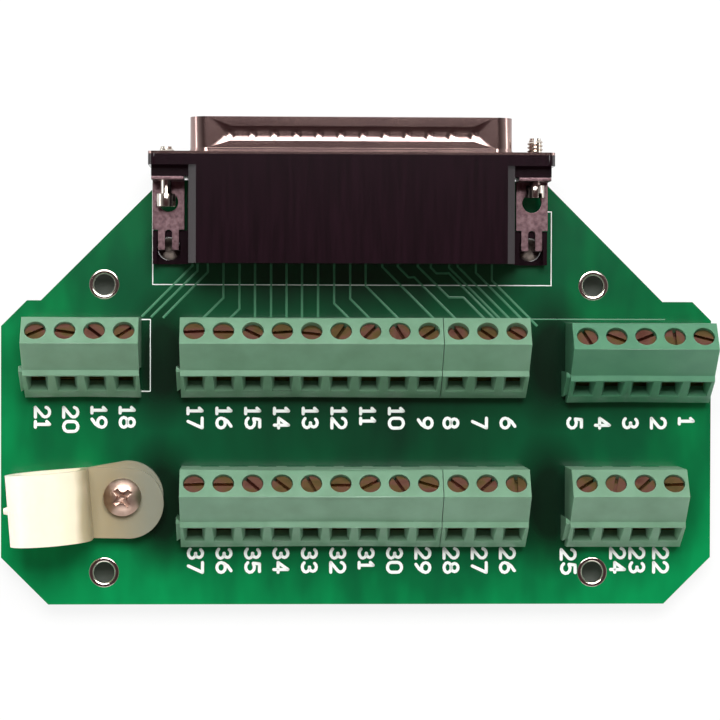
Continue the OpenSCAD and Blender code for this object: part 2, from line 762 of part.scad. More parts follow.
// Captive jack screw: slotted head, thin neck and a short thread
module jackscrew(side, out) {
  lead = 0.45;
  driver_slot = [0.7, 0.8];
  slot_turn = side > 0 ? 60 : 25;
  tip = flange_y + out;
  color([0.75, 0.72, 0.68])
    translate([side * jack_dx / 2, tip, plug_z]) rotate([90, 0, 0])
      difference() {
        union() {
          cylinder(h = lead, d1 = jack_d - 2 * lead, d2 = jack_d);
          translate([0, 0, lead]) cylinder(h = jack_thread_l - lead, d = jack_d);
          cylinder(h = jack_l - overlap, d = neck_d);
          translate([0, 0, jack_l - jack_head_l]) cylinder(h = jack_head_l, d = jack_head_d);
        }
        rotate([0, 0, slot_turn])
          translate([-jack_head_d, -driver_slot[0] / 2, jack_l - driver_slot[1]])
            cube([2 * jack_head_d, driver_slot[0], driver_slot[1] + cut]);
      }
}

// Side view of the clamp's loop, up to where its two tabs begin
module loop_side() {
  r = loop_d / 2;
  mid = -loop_gap - loop_r;
  difference() {
    union() {
      translate([mid, loop_r]) circle(loop_r);
      translate([mid, 0]) square(loop_r);
    }
    translate([mid, loop_r]) circle(r);
    translate([mid, strap_t]) square([r, r]);
    translate([mid, strap_t]) square([loop_r + cut, tab_split]);
  }
}

// One of the two tabs: its round end may lie beside the loop's middle line
module tab(z, end_y) {
  half = strap_w / 2;
  end_x = tab_reach - half;
  start = -loop_gap - slip;
  translate([0, 0, z]) linear_extrude(strap_t) {
    translate([end_x, end_y]) circle(half, $fn = 96);
    polygon([[start, loop_y - half], [end_x, end_y - half], [end_x, end_y + half],
      [start, loop_y + half]]);
  }
}

// Nylon clamp: strap bent into a loop, its two ends lying on each other
module cable_clamp() {
  nub = [0.7, 1.6, 1];
  sunk = 0.3;
  color([0.93, 0.92, 0.83])
    translate([-clamp_x, -clamp_y, board_t]) rotate([0, 0, clamp_turn])
      difference() {
        union() {
          translate([0, loop_y + strap_w / 2, 0]) rotate([90, 0, 0])
            linear_extrude(strap_w) loop_side();
          tab(0, 0);
          tab(strap_t + tab_split, -tab_skew);
          translate([-loop_gap - 2 * loop_r + sunk, loop_y, loop_r]) rotate([0, -90, 0])
            cylinder(h = nub[0] + sunk, d1 = nub[1], d2 = nub[2]);
        }
        translate([0, 0, -cut])
          cylinder(h = clamp_top + cut, d = clamp_thread_d + 2 * shank_gap);
      }
}

// Pan head screw with a cross recess, down through the clamp and the board
module clamp_screw() {
  head_h = 2.3;
  dome_h = 1.2;
  wing = [3.5, 0.9, 1.4];
  recess = [1.7, 0.8, 2];
  recess_turn = 40;
  head_z = clamp_top + slip;
  top_z = head_z + head_h;
  dome_r = (pow(clamp_head_d / 2, 2) + pow(dome_h, 2)) / (2 * dome_h);
  end_z = -nut_h - 0.8;
  color([0.7, 0.62, 0.6])
    translate([-clamp_x, -clamp_y, 0]) difference() {
      union() {
        intersection() {
          translate([0, 0, head_z]) cylinder(h = head_h, d = clamp_head_d);
          translate([0, 0, top_z - dome_r]) sphere(r = dome_r, $fn = 96);
        }
        translate([0, 0, end_z]) cylinder(h = head_z - end_z + overlap, d = clamp_thread_d);
      }
      for (a = [0, 90]) rotate([0, 0, a + recess_turn])
        translate([-wing[0] / 2, -wing[1] / 2, top_z - wing[2]])
          cube([wing[0], wing[1], wing[2] + cut]);
      translate([0, 0, top_z - recess[0]])
        cylinder(h = recess[0] + overlap, d1 = recess[1], d2 = recess[2]);
    }
}

// Hexagon nut under the board
module clamp_nut() {
  corner = 0.96;
  slant = 1.4;
  turn = 10;
  color([0.7, 0.62, 0.6])
    translate([-clamp_x, -clamp_y, -nut_h]) difference() {
      intersection() {
        rotate([0, 0, turn]) cylinder(h = nut_h, d = nut_af / cos(30), $fn = 6);
        cylinder(h = nut_h + slant, d1 = nut_af * corner, d2 = nut_af * corner + 2 * nut_h);
      }
      translate([0, 0, -cut]) cylinder(h = nut_h + 2 * cut, d = clamp_thread_d + 2 * slip);
    }
}

board();
plug_shell();
plug_insulator();
plug_housing();
plug_contacts(LONG_ROW, plug_z + contact_rows / 2, tail_y_upper);  // plug_contacts_upper
plug_contacts(SHORT_ROW, plug_z - contact_rows / 2, tail_y_lower);  // plug_contacts_lower
bracket(-1);  // bracket_left
bracket(1);  // bracket_right
jackscrew(-1, jack_left_out);  // jackscrew_left
jackscrew(1, jack_right_out);  // jackscrew_right
housing(BLOCKS[0]);  // block_18_21
housing(BLOCKS[1]);  // block_9_17
housing(BLOCKS[2]);  // block_6_8
housing(BLOCKS[3]);  // block_1_5
housing(BLOCKS[4]);  // block_29_37
housing(BLOCKS[5]);  // block_26_28
housing(BLOCKS[6]);  // block_22_25
contacts(1, UPPER_WAYS);  // contacts_1_21
contacts(UPPER_WAYS + 1, WAYS);  // contacts_22_37
clamp_cages();
cable_clamp();
clamp_screw();
clamp_nut();
for (n = [1 : WAYS]) terminal_screw(n);
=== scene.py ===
# %% [markdown]
# # A D-sub terminal block adapter
#
# The real object is a green circuit board. A black plug with 37 contacts sits at
# its back, seven green terminal housings hold 37 slotted screws, and a nylon loop
# at the left grips the cable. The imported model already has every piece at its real
# size. This file gives each piece its rounded edges, its printed marks and its
# finish, and never moves or resizes anything.

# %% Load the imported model
import math
import json

import bpy
from mathutils import Euler, Matrix, Vector


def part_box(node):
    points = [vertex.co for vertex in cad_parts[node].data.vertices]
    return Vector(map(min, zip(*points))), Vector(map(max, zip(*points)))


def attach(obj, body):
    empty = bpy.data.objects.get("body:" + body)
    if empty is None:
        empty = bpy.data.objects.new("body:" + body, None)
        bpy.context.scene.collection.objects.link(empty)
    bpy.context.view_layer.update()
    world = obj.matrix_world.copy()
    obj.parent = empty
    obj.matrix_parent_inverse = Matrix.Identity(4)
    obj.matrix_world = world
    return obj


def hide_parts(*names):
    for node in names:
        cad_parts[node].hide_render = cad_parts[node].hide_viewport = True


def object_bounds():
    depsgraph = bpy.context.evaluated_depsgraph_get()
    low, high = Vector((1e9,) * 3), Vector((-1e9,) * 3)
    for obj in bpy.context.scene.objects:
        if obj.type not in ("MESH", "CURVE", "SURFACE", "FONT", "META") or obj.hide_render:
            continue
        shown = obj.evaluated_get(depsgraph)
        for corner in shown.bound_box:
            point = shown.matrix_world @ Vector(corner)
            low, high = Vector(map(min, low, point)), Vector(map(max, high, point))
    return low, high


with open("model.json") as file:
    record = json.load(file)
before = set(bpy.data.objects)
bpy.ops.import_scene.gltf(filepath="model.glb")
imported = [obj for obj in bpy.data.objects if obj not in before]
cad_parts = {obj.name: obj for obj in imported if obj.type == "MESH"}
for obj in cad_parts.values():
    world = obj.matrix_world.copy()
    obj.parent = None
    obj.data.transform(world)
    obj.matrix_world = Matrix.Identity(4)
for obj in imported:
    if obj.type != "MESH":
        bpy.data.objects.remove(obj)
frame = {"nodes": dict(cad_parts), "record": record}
cad_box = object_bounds()
MM = 0.001

# %% [markdown]
# ## The camera
#
# The photograph looks almost straight down. A pinhole camera was fitted to the
# mounting holes and the block corners, which gives a place 454 mm above the board
# and a tilt of about two degrees. A long lens keeps the sides of the tall pieces
# nearly hidden, as in the photograph.

# %% Place the camera
CAMERA_AT = Vector((-14.894, 19.71, 453.9)) * MM
CAMERA_TURN = Euler((-0.017, -0.037, 0.002), "ZYX")
FOCAL_PIXELS = 2590.9
FRAME_PIXELS = 720

bpy.ops.object.select_all(action="DESELECT")
bpy.ops.object.camera_add(location=CAMERA_AT)
camera = bpy.context.object
camera.rotation_euler = CAMERA_TURN.to_matrix().to_euler("XYZ")
camera.data.sensor_width = 36
camera.data.lens = 36 * FOCAL_PIXELS / FRAME_PIXELS
camera.data.clip_start = 0.01
bpy.context.scene.camera = camera
print("lens:", round(camera.data.lens, 1), "mm")

# %% [markdown]
# ## Helpers for finishes
#
# Colours are written as the hex values that an eye-dropper shows, and Blender
# wants them in linear light, so one function converts them. A second function
# adds any node: its settings are set by name, and an input is either a value or
# a socket that is linked. The short ones after them name what is built again and
# again: a sum, a ramp, a mix of two colours, an oval patch, and noise.

# %% Colour and node helpers
def linear(hex_colour):
    channels = [int(hex_colour[i:i + 2], 16) / 255 for i in (0, 2, 4)]
    return [c / 12.92 if c <= 0.04045 else ((c + 0.055) / 1.055) ** 2.4 for c in channels] + [1.0]


def add_node(material, kind, settings={}, inputs={}):
    node = material.node_tree.nodes.new(kind)
    for name, value in settings.items():
        setattr(node, name, value)
    for name, value in inputs.items():
        if isinstance(value, bpy.types.NodeSocket):
            material.node_tree.links.new(value, node.inputs[name])
        else:
            node.inputs[name].default_value = value
    return node


def new_material(name, hex_colour, roughness, metallic=0.0):
    material = bpy.data.materials.new(name)
    material.use_nodes = True
    shader = material.node_tree.nodes["Principled BSDF"]
    shader.inputs["Base Color"].default_value = linear(hex_colour)
    shader.inputs["Roughness"].default_value = roughness
    shader.inputs["Metallic"].default_value = metallic
    return material, shader


def link(material, output, shader, name):
    material.node_tree.links.new(output, shader.inputs[name])


def object_place(material):
    return add_node(material, "ShaderNodeTexCoord").outputs["Object"]


def calculate(material, operation, *values):
    node = add_node(material, "ShaderNodeMath", {"operation": operation}, dict(enumerate(values)))
    return node.outputs["Value"]


def share_between(material, value, low, high, most=1.0):
    return add_node(material, "ShaderNodeMapRange", inputs={
        "Value": value, "From Min": low, "From Max": high, "To Max": most}).outputs["Result"]


def ramp(material, factor, stops):
    node = add_node(material, "ShaderNodeValToRGB", inputs={"Fac": factor})
    elements = node.color_ramp.elements
    for i, (place, hex_colour) in enumerate(stops):
        if i >= len(elements):
            elements.new(place)
        elements[i].position = place
        elements[i].color = linear(hex_colour)
    return node.outputs["Color"]


def mixed(material, share, first, second):
    """From the first colour to the second, each a hex value or a socket.

    A mix node lists number and vector sockets first, so its two colours come in at
    6 and 7 and leave at 2.
    """
    node = add_node(material, "ShaderNodeMix", {"data_type": "RGBA"}, {"Factor": share})
    for colour, socket in ((first, node.inputs[6]), (second, node.inputs[7])):
        if isinstance(colour, str):
            socket.default_value = linear(colour)
        else:
            material.node_tree.links.new(colour, socket)
    return node.outputs[2]


def soft_patch(material, middle_mm, radii_mm):
    """An oval on the board that fades from one in the middle to nought at its rim."""
    moved = add_node(material, "ShaderNodeMapping", {"vector_type": "TEXTURE"}, {
        "Vector": object_place(material), "Location": [v * MM for v in (*middle_mm, 0)],
        "Scale": [v * MM for v in (*radii_mm, 1000)]})
    patch = add_node(material, "ShaderNodeTexGradient", {"gradient_type": "SPHERICAL"}, {
        "Vector": moved.outputs["Vector"]})
    return patch.outputs["Fac"]


def most_of(material, factors):
    most = factors[0]
    for factor in factors[1:]:
        most = calculate(material, "MAXIMUM", most, factor)
    return most


def noise(material, patch_mm, detail, squeeze=(1, 1, 1)):
    """Noise with patches of about one size, squeezed along the object's axes."""
    place = add_node(material, "ShaderNodeMapping", inputs={
        "Vector": object_place(material), "Scale": squeeze})
    return add_node(material, "ShaderNodeTexNoise", inputs={
        "Vector": place.outputs["Vector"], "Scale": 1 / (patch_mm * MM),
        "Detail": detail}).outputs["Fac"]


def noise_bump(material, shader, grain_mm, depth_mm, detail=3.0, squeeze=(1, 1, 1)):
    bump = add_node(material, "ShaderNodeBump", inputs={
        "Height": noise(material, grain_mm, detail, squeeze), "Strength": 1.0,
        "Distance": depth_mm * MM})
    link(material, bump.outputs["Normal"], shader, "Normal")


print("white is", [round(v, 2) for v in linear("ffffff")])

# %% [markdown]
# ## Light and floor
#
# On the photograph the screw slopes face the light and are a little brighter than
# level surfaces, and the wire slopes are less than half as bright. That fits one
# broad lamp about 30 degrees from upright on the plug's side. Level metal is nearly
# black and upright metal is bright, which is what a light tent gives: pale walls
# all round, and a dark opening at the top for the camera. Everything level and
# dark has a red-brown cast there, so the opening has that colour. The world's
# colour therefore depends on the height above the horizon. Upright pairs of
# highlights on the jack screws and rims show a narrow soft box at each side. The
# wire openings are lit to the bottom, so a weaker box stands in front of them, 40
# degrees up.

# %% Light tent
scene = bpy.context.scene
scene.view_settings.view_transform = "Standard"

world = bpy.data.worlds.new("light_tent")
scene.world = world
world.use_nodes = True
direction = add_node(world, "ShaderNodeTexCoord").outputs["Generated"]
upwards = add_node(world, "ShaderNodeSeparateXYZ", inputs={"Vector": direction}).outputs["Z"]
tent = ramp(world, upwards, [
    (0.0, "f8f8f8"), (0.35, "d0d0d0"), (0.6, "a2a0a0"), (0.86, "564a4a"), (1.0, "482c30")])
link(world, tent, world.node_tree.nodes["Background"], "Color")
print("world:", world.name, "with", len(world.node_tree.nodes), "nodes")

# %% Lamps
def soft_box(place, width, height, watts):
    bpy.ops.object.select_all(action="DESELECT")
    aim = (-Vector(place)).to_track_quat("-Z", "Y").to_euler()
    bpy.ops.object.light_add(type="AREA", location=place, rotation=aim)
    box = bpy.context.object
    box.data.shape = "RECTANGLE"
    box.data.size = width
    box.data.size_y = height
    box.data.energy = watts
    return box


LAMP_TILT = math.radians(30)
LAMP_AWAY = 0.6
SIDE_AWAY = 0.8
FRONT_AT = (0, -0.46, 0.386)
main_lamp = soft_box((0, LAMP_AWAY * math.sin(LAMP_TILT), LAMP_AWAY * math.cos(LAMP_TILT)),
                     width=0.45, height=0.3, watts=4.4)
side_lamps = [soft_box((x, 0.0, 0.1), width=0.7, height=0.16, watts=1.6)
              for x in (-SIDE_AWAY, SIDE_AWAY)]
front_lamp = soft_box(FRONT_AT, width=0.5, height=0.15, watts=0.45)
print("watts:", [round(box.data.energy, 2) for box in (main_lamp, *side_lamps, front_lamp)])

# %% [markdown]
# The floor is a matt white card, lit from behind as catalogue photographs have it:
# to the camera it adds most of a white of its own, and keeps a faint shadow. Round
# the mounting holes it has no backlight, and its colour is painted dark grey: a
# painted shade for the deep shade that the board casts there.

# %% Lay the floor
FLOOR_Z = cad_box[0][2] - 0.1 * MM
BACKLIGHT_SHARE = 0.85
HOLE_X, HOLE_Y = 42.7, 25.1
HOLES = [(x, y) for x in (-HOLE_X, HOLE_X) for y in (-HOLE_Y, HOLE_Y)]
COVER_MM = 8
bpy.ops.object.select_all(action="DESELECT")
bpy.ops.mesh.primitive_plane_add(size=6, location=(0, 0, FLOOR_Z))
floor = bpy.context.object
floor.name = "floor"
card, card_shader = new_material("matt_white_card", "f7f7f7", 0.9)
light_path = add_node(card, "ShaderNodeLightPath").outputs
seen_directly = calculate(card, "MAXIMUM", light_path["Is Camera Ray"], light_path["Is Glossy Ray"])
near_hole = most_of(card, [soft_patch(card, hole, (COVER_MM, COVER_MM)) for hole in HOLES])
painted_hole_shade = calculate(card, "GREATER_THAN", near_hole, 0.5)
lit = calculate(card, "MULTIPLY", seen_directly, BACKLIGHT_SHARE)
share = calculate(card, "MULTIPLY", lit, calculate(card, "SUBTRACT", 1.0, painted_hole_shade))
# Round each mounting hole the card's colour is painted dark grey 5c605a: painted shade, not the
# card's own colour.
link(card, mixed(card, painted_hole_shade, "f7f7f7", "5c605a"), card_shader, "Base Color")
backlight = add_node(card, "ShaderNodeEmission", inputs={
    "Color": linear("ffffff"), "Strength": 1.0})
card_surface = add_node(card, "ShaderNodeMixShader", inputs={
    0: share, 1: card_shader.outputs["BSDF"], 2: backlight.outputs["Emission"]})
link(card, card_surface.outputs["Shader"], card.node_tree.nodes["Material Output"], "Surface")
floor.data.materials.append(card)
print("floor at", round(FLOOR_Z / MM, 2), "mm")

# %% [markdown]
# ## Finishes
#
# The housings are moulded polyamide (IOR 1.53): a soft green with a fine spark
# texture from the mould, so it never shines sharply. Thin edges and worn corners
# look a little paler, which a slow noise in the colour stands for. Light enters it
# by about a millimetre, so the mouths of the wire openings glow. The upper block at
# the right is of a deeper green batch than the others.

# %% Moulded green polyamide
def polyamide(name, dark, pale):
    material, shader = new_material(name, dark, 0.42)
    shader.inputs["IOR"].default_value = 1.53
    shader.inputs["Subsurface Weight"].default_value = 0.3
    shader.inputs["Subsurface Scale"].default_value = MM
    shader.inputs["Subsurface Radius"].default_value = (1.0, 1.4, 1.1)
    noise_bump(material, shader, grain_mm=0.12, depth_mm=0.004)
    cloud = noise(material, 5, 4.0)
    link(material, ramp(material, cloud, [(0.3, dark), (0.7, pale)]), shader, "Base Color")
    return material


green = polyamide("moulded_green_polyamide", "62886c", "6e967a")
deep_green = polyamide("moulded_green_polyamide_deeper", "42785a", "4c8463")
print("housing finishes:", green.name, "and", deep_green.name)

# %% [markdown]
# The board is glass-epoxy laminate under green solder mask. The mask is thick
# and glossy. Its colour is painted darker behind the plug and along the middle, and
# nearly black in the gaps between the blocks: all painted shade. The cut edges show
# the bare pale laminate, so the material turns to that where the surface faces
# sideways.

# %% Solder mask over laminate
mask, shader = new_material("solder_mask_on_laminate", "037440", 0.18)
shader.inputs["IOR"].default_value = 1.5

# Painted shade: ovals behind the plug and along the middle darken the mask colour, which stays
# paler towards the edges.
SHADE_PATCHES = [((0, 27), (72, 26)), ((6, 3), (76, 40))]
GAPS = [(-32.6, 12), (35.5, 12), (-32.6, -13), (35.2, -13)]
GAP_RADII = (7.5, 14)
painted_shade = most_of(mask, [soft_patch(mask, *place) for place in SHADE_PATCHES])
streaks = noise(mask, 9, 2.0, squeeze=(1.6, 0.6, 1))
uneven = calculate(mask, "MULTIPLY_ADD", streaks, 0.5, painted_shade)
lacquer = ramp(mask, share_between(mask, uneven, 0, 1.25), [
    (0.18, "02884a"), (0.4, "026236"), (0.56, "044e2e"), (0.76, "064428"), (1, "08301e")])
# Painted shade: the gaps between the blocks are mixed towards near black 04180d.
painted_gap_shade = most_of(mask, [soft_patch(mask, gap, GAP_RADII) for gap in GAPS])
shaded = mixed(mask, share_between(mask, painted_gap_shade, 0, 0.6, most=0.92), lacquer, "04180d")
normal = add_node(mask, "ShaderNodeNewGeometry").outputs["Normal"]
upright = add_node(mask, "ShaderNodeSeparateXYZ", inputs={"Vector": normal}).outputs["Z"]
cut_edge = calculate(mask, "LESS_THAN", calculate(mask, "ABSOLUTE", upright), 0.5)
link(mask, mixed(mask, cut_edge, shaded, "8fae72"), shader, "Base Color")
noise_bump(mask, shader, grain_mm=2.5, depth_mm=0.012, detail=1.0)
print("board finish:", mask.name, "with", len(mask.node_tree.nodes), "nodes")

# %% [markdown]
# A trace is copper under the same mask. Bright metal under thin green lacquer
# reads as a paler line, a little raised.

# %% Mask over copper, and printed marks
trace_green, shader = new_material("mask_over_copper_trace", "3c7a58", 0.3)
shader.inputs["IOR"].default_value = 1.5
print_white, shader = new_material("white_epoxy_print", "f2f6f2", 0.5)
noise_bump(print_white, shader, grain_mm=0.2, depth_mm=0.006)
print("line finishes:", trace_green.name, "and", print_white.name)

# %% [markdown]
# The plug's housing is glass-filled black polyester. In the photograph it has a
# purple cast and faint stripes along the mould's flow, so a stretched noise
# changes its colour a little.

# %% Moulded black polyester
black, shader = new_material("moulded_black_polyester", "16070d", 0.16)
shader.inputs["Specular IOR Level"].default_value = 0.3
shader.inputs["IOR"].default_value = 1.57
noise_bump(black, shader, grain_mm=0.4, depth_mm=0.0012)
flow = noise(black, 6, 5.0, squeeze=(8, 0.6, 1))
link(black, ramp(black, flow, [(0.3, "10050a"), (0.7, "1a0a12")]), shader, "Base Color")
print("plug finish:", black.name)

# %% [markdown]
# ## Metals
#
# Each metal keeps Blender's default IOR. What tells them apart is the colour, how
# sharply they reflect, and the marks that rolling, turning or plating left. One
# function makes them: a slow noise changes the colour between two near tones, and
# a fine one roughens the surface.

# %% Metals
def metal(name, tones, roughness, patch_mm, grain_mm, depth_mm, squeeze=(1, 1, 1)):
    material, shader = new_material(name, tones[0], roughness, metallic=1.0)
    patch = noise(material, patch_mm, 3.0, squeeze)
    stops = [(0.3 + 0.4 * i / (len(tones) - 1), tone) for i, tone in enumerate(tones)]
    link(material, ramp(material, patch, stops), shader, "Base Color")
    noise_bump(material, shader, grain_mm, depth_mm, 4.0, squeeze)
    return material


tin = metal("tin_plated_steel_shell", ["8e7674", "a48c86"], 0.16, 8, 1.6, 0.004)
bracket_steel = metal("zinc_plated_bracket", ["604a4e", "8c7276"], 0.3, 0.7, 0.3, 0.012)
nickel = metal("nickel_plated_steel_screw", ["bdb2a8", "d6cec4"], 0.14, 3, 0.3, 0.002)
pan_steel = metal("plated_pan_head", ["bc9c8c", "d0b4a4"], 0.34, 1.2, 0.3, 0.006)
passivated = metal("yellow_passivated_steel_screw", ["70473c", "835c4f", "78603e", "635636"],
                   0.26, 2.6, 0.16, 0.008, squeeze=(0.6, 1, 1))
brass = metal("plated_brass_cage", ["a8823c", "c8a45c"], 0.3, 2, 0.2, 0.004)
solder = metal("tinned_contact_strip", ["a8a8a2", "c4c4be"], 0.25, 1.5, 0.4, 0.008)
# The dark tones of this solder are painted shade: it stands for the dark board-lock holes.
solder_painted_dark = metal("solder_painted_dark", ["4c4442", "686058"], 0.42, 0.8, 0.3, 0.02)
gold = metal("gold_flashed_contact", ["c09a50", "d8b870"], 0.2, 2, 0.2, 0.002)
print("materials so far:", len(bpy.data.materials))

# %% [markdown]
# The clamp is natural polyamide, undyed: a warm white that lets light in a few
# millimetres. The loop stands free over white and the tabs lie on the dark board, so
# the colour is painted along the strap: a paler painted glow on the loop, and painted
# shade on the tabs where the dark board shows through.

# %% Natural nylon
nylon, shader = new_material("natural_polyamide_strap", "e6e3d0", 0.38)
shader.inputs["IOR"].default_value = 1.53
shader.inputs["Subsurface Weight"].default_value = 0.35
shader.inputs["Subsurface Radius"].default_value = (4 * MM, 3 * MM, 2 * MM)
noise_bump(nylon, shader, grain_mm=1.8, depth_mm=0.03, detail=2.0)
across_strap = add_node(nylon, "ShaderNodeSeparateXYZ", inputs={
    "Vector": object_place(nylon)}).outputs["X"]
LOOP_END_MM, TAB_END_MM = -59, -33
# Painted light along the strap: a paler painted glow on the loop and painted shade on the tabs.
wander = calculate(nylon, "MULTIPLY_ADD", noise(nylon, 9, 2.0), 3 * MM, across_strap)
along_strap = share_between(nylon, wander, LOOP_END_MM * MM, TAB_END_MM * MM)
link(nylon, ramp(nylon, along_strap, [
    (0.0, "f4f0e2"), (0.4, "efe6cf"), (0.51, "e4d8bc"), (0.57, "b4a686"), (0.62, "a69979"),
    (0.76, "9c9072"), (1.0, "858574")]), shader, "Base Color")
print("clamp finish:", nylon.name)

# %% [markdown]
# ## Rounded edges
#
# No moulded, stamped or turned edge is perfectly sharp: each catches a thin line
# of light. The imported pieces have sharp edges, so each gets a copy that stands for
# it. The copy's loose triangles are merged, flat areas are dissolved into single
# faces, and a bevel modifier rounds every edge that is sharper than a set angle.
# The radius is the real one for how the piece is made. Weighted normals then keep
# the large flat faces flat, so that only the narrow bevels are shaded round. The
# plug's drawn shell is left undissolved, because its dimples are round both ways. The
# long housings are keyed together from modules of two to five ways, and a fine
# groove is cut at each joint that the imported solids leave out.

# %% Helpers for a copied piece
RECORD = frame["record"]
BODY_OF = {node: body for body, nodes in RECORD["behaviour"]["bodies"].items() for node in nodes}


def deselect():
    bpy.ops.object.select_all(action="DESELECT")


def only(piece):
    deselect()
    piece.select_set(True)
    bpy.context.view_layer.objects.active = piece


SEAM_MM = 0.14
SEAM_DEEP_MM = 0.12
SEAMS = {"block_18_21": [-46.2], "block_9_17": [-9.3], "block_1_5": [47.8],
         "block_29_37": [-14.3, 0.7]}


def cut_seam(x_mm):
    """A fine V groove round the piece in edit mode."""
    for offset in (-SEAM_MM / 2, SEAM_MM / 2, 0):
        bpy.ops.mesh.select_all(action="SELECT")
        bpy.ops.mesh.bisect(plane_co=((x_mm + offset) * MM, 0, 0), plane_no=(1, 0, 0))
    bpy.ops.transform.shrink_fatten(value=-SEAM_DEEP_MM * MM)


MERGE_MM = 0.002
FLAT_DEGREES = 0.5
BEVEL_SEGMENTS = 2


def rounded(node, finish, radius_mm, sharper_than=35, smooth_to=32, dissolve=True):
    """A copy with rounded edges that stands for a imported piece."""
    only(frame["nodes"][node])
    bpy.ops.object.duplicate()
    piece = bpy.context.object
    piece.name = node + "_rounded"
    bpy.ops.object.mode_set(mode="EDIT")
    bpy.ops.mesh.select_all(action="SELECT")
    bpy.ops.mesh.remove_doubles(threshold=MERGE_MM * MM)
    if dissolve:
        bpy.ops.mesh.dissolve_limited(angle_limit=math.radians(FLAT_DEGREES))
    bpy.ops.object.mode_set(mode="OBJECT")
    if radius_mm:
        bpy.ops.object.modifier_add(type="BEVEL")
        bevel = piece.modifiers[-1]
        bevel.width = radius_mm * MM
        bevel.segments = BEVEL_SEGMENTS
        bevel.angle_limit = math.radians(sharper_than)
        bevel.use_clamp_overlap = True
        bpy.ops.object.modifier_apply(modifier=bevel.name)
    bpy.ops.object.mode_set(mode="EDIT")
    for x_mm in SEAMS.get(node, []):
        cut_seam(x_mm)
    bpy.ops.object.mode_set(mode="OBJECT")
    bpy.ops.object.shade_smooth_by_angle(angle=math.radians(smooth_to))
    bpy.ops.object.modifier_add(type="WEIGHTED_NORMAL")
    piece.modifiers[-1].keep_sharp = True
    bpy.ops.object.modifier_apply(modifier=piece.modifiers[-1].name)
    piece.data.materials.clear()
    piece.data.materials.append(finish)
    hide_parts(node)
    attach(piece, BODY_OF[node])
    return piece


print("bodies that move:", len(set(BODY_OF.values())) - 1)

# %% Round the pieces
ROUNDED = {
    "plug_shell": (tin, 0.1), "plug_housing": (black, 0.18), "plug_insulator": (black, 0.08),
    "bracket_left": (bracket_steel, 0.06), "bracket_right": (bracket_steel, 0.06),
    "jackscrew_left": (nickel, 0.12), "jackscrew_right": (nickel, 0.12),
    "cable_clamp": (nylon, 0.22), "clamp_screw": (pan_steel, 0.1), "clamp_nut": (pan_steel, 0.12)}
for name in frame["nodes"]:
    if name.startswith("block"):
        ROUNDED[name] = (deep_green if name == "block_1_5" else green, 0.1)
    if name.startswith("screw"):
        ROUNDED[name] = (passivated, 0.07)
DRAWN_SHEET = {"sharper_than": 60, "smooth_to": 22, "dissolve": False}
made = {name: rounded(name, *how, **(DRAWN_SHEET if name == "plug_shell" else {}))
        for name, how in ROUNDED.items()}
print("rounded pieces:", len(made), "faces:", sum(len(p.data.polygons) for p in made.values()))

# %% [markdown]
# Each screw was left at its own angle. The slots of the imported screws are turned
# the other way round, so each copy is turned about its own axis, by twice the
# angle, to the direction that the photograph shows.

# %% Turn the slots
SLOT_TURN = [-18, 90, 25, -25, -65, -38, -42, -60, 40, -65, 50, 60, -8, 5, -30, 0, 3,
             38, -42, -10, 28, 2, 45, 77, 35, 90, 45, -42, -20, -60, 30, 0, -65, -42, -45, 0, 3]
JOINTS = {joint["child"]: joint for joint in RECORD["behaviour"]["joints"]}
for i, degrees in enumerate(SLOT_TURN):
    name = f"screw_{i + 1:02d}"
    joint = JOINTS[BODY_OF[name]]
    only(made[name])
    pivot = Matrix.Translation(Vector(joint["pos_m"]))
    turn = Matrix.Rotation(math.radians(2 * degrees), 4, Vector(joint["axis"]))
    made[name].matrix_world = pivot @ turn @ pivot.inverted()
    bpy.ops.object.transform_apply(location=True, rotation=True, scale=True)
print("slots turned:", len(SLOT_TURN))

# %% Finish of the pieces that keep their own mesh
KEPT = {"board": mask, "plug_contacts_upper": gold, "plug_contacts_lower": gold,
        "contacts_1_21": solder, "contacts_22_37": solder, "clamp_cages": brass}
for name, finish in KEPT.items():
    frame["nodes"][name].data.materials.clear()
    frame["nodes"][name].data.materials.append(finish)
print("pieces with their own mesh:", len(KEPT))

# %% [markdown]
# ## Printed and etched lines
#
# The white print and the copper traces are thin lines with soft edges that stand
# a few hundredths of a millimetre proud. Each is drawn as a hand would: a single
# vertex is extruded from point to point, the path gets a round section, and the
# round line is pressed flat. They are drawn about four times as high as real ink
# and copper, because true ones would not show.

# %% Draw a flat line
board_low, board_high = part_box("board")
TOP = board_high.z
UNDER = board_low.z
print("board from", round(UNDER / MM, 2), "to", round(TOP / MM, 2), "mm")


def drawn_line(name, points, width_mm, height_mm, z):
    deselect()
    bpy.ops.mesh.primitive_plane_add(size=MM)
    line = bpy.context.object
    line.name = name
    bpy.ops.object.mode_set(mode="EDIT")
    bpy.ops.mesh.select_all(action="SELECT")
    bpy.ops.mesh.merge(type="CENTER")
    bpy.ops.transform.translate(value=(points[0][0] * MM, points[0][1] * MM, 0))
    for before, after in zip(points, points[1:]):
        step = ((after[0] - before[0]) * MM, (after[1] - before[1]) * MM, 0)
        bpy.ops.mesh.extrude_vertices_move(TRANSFORM_OT_translate={"value": step})
    bpy.ops.object.mode_set(mode="OBJECT")
    bpy.ops.object.convert(target="CURVE")
    line.data.bevel_depth = width_mm / 2 * MM
    line.data.bevel_resolution = 1
    line.data.use_fill_caps = True
    bpy.ops.object.convert(target="MESH")
    bpy.ops.object.mode_set(mode="EDIT")
    bpy.ops.mesh.select_all(action="SELECT")
    bpy.ops.transform.resize(value=(1, 1, 2 * height_mm / width_mm), center_override=(0, 0, 0))
    bpy.ops.transform.translate(value=(0, 0, z))
    bpy.ops.object.mode_set(mode="OBJECT")
    bpy.ops.object.shade_smooth_by_angle(angle=math.radians(50))
    return line


